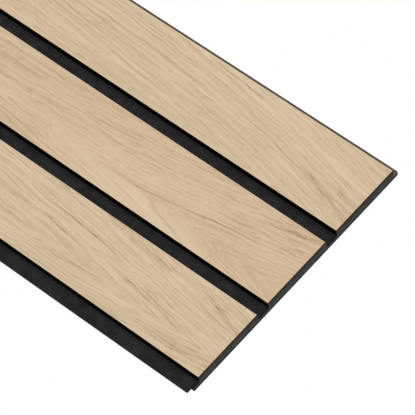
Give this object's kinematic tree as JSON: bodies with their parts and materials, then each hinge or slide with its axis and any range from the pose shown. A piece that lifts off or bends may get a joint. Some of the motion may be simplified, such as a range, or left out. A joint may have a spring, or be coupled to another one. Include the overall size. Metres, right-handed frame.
{
  "type": "slat wall panel",
  "caption": "Flat wall panel of wide oak-veneered slats on a thin black backing board, with half-lap long sides that join one panel to the next.",
  "frame": {"origin": "middle of the back face, on the wall plane", "axes": "+X along the slats, +Y across the panel to the side with the under lap, +Z out of the wall"},
  "size_m": [2.4, 0.3066, 0.0143],
  "materials": {
    "backing": "matt black-dyed fibreboard",
    "slat_core": "matt black-dyed fibreboard, black milled sides and dark grey sawn ends",
    "oak_veneer": "flat-cut pale oak veneer, matt lacquered"
  },
  "bodies": {
    "root": {"backing_board": "backing", "slat_core_1": "slat_core", "slat_core_2": "slat_core", "slat_core_3": "slat_core", "veneer_face_1": "oak_veneer", "veneer_face_2": "oak_veneer", "veneer_face_3": "oak_veneer"}
  },
  "joints": []
}
